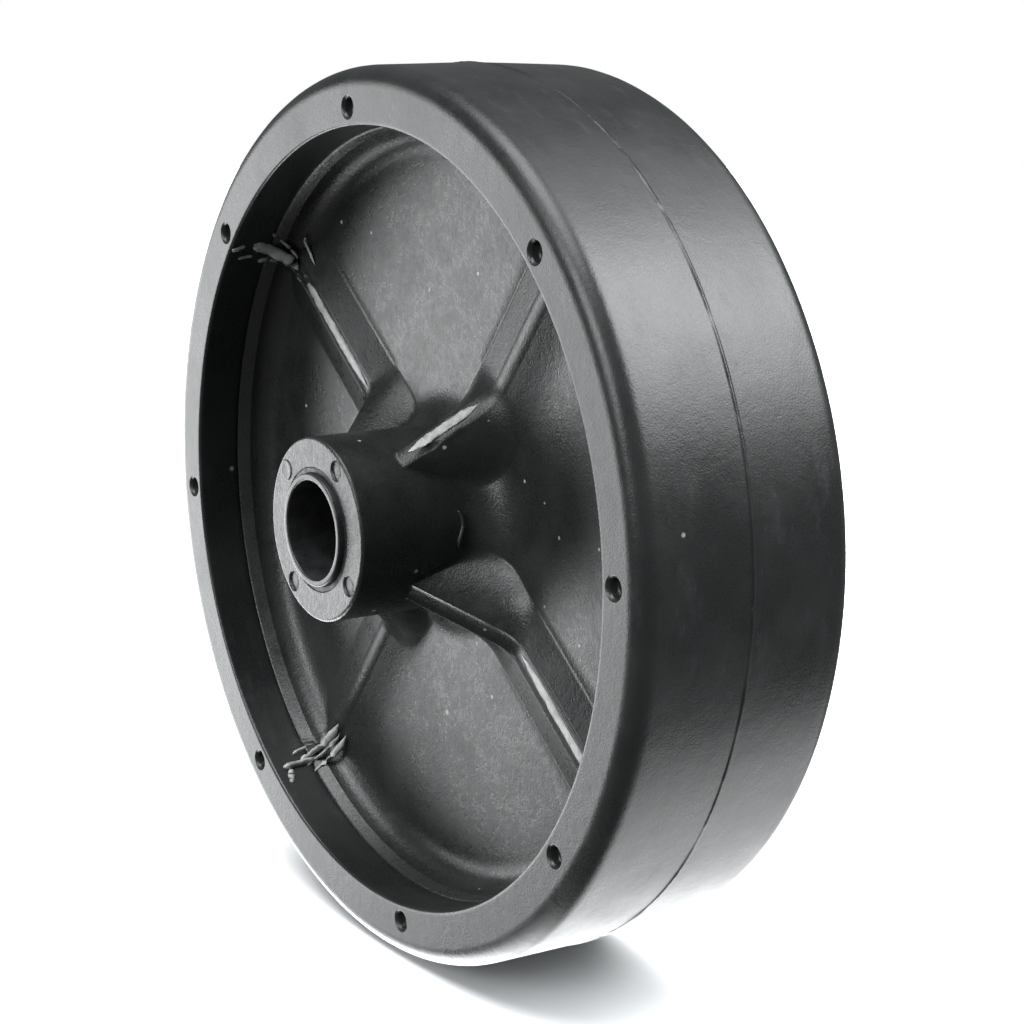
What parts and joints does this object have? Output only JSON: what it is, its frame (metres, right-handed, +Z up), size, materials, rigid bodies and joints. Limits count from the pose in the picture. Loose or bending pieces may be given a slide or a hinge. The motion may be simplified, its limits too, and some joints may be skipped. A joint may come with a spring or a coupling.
{
  "type": "gate wheel",
  "caption": "Black moulded wheel for a gate: a solid rubber tyre on a ribbed plastic core, whose long hub turns on a plain axle sleeve.",
  "frame": {"origin": "centre of the wheel, on the axle's line", "axes": "+Y along the axle, +Z up, at rest with the ribs as they stand when the wheel is on the ground"},
  "size_m": [0.2032, 0.0844, 0.2032],
  "materials": {
    "tyre": "satin moulded black rubber",
    "core": "moulded black plastic, fine grain",
    "bush": "moulded black bearing plastic",
    "sleeve": "black finished steel"
  },
  "bodies": {
    "axle_sleeve": {"axle_sleeve": "sleeve"},
    "wheel": {"tyre": "tyre", "wheel_core": "core", "front_bush": "bush", "rear_bush": "bush"}
  },
  "joints": [
    {"name": "wheel_spin", "type": "hinge", "parent": "axle_sleeve", "child": "wheel", "pos_m": [0, 0, 0], "axis": [0, 1, 0], "continuous": true}
  ]
}
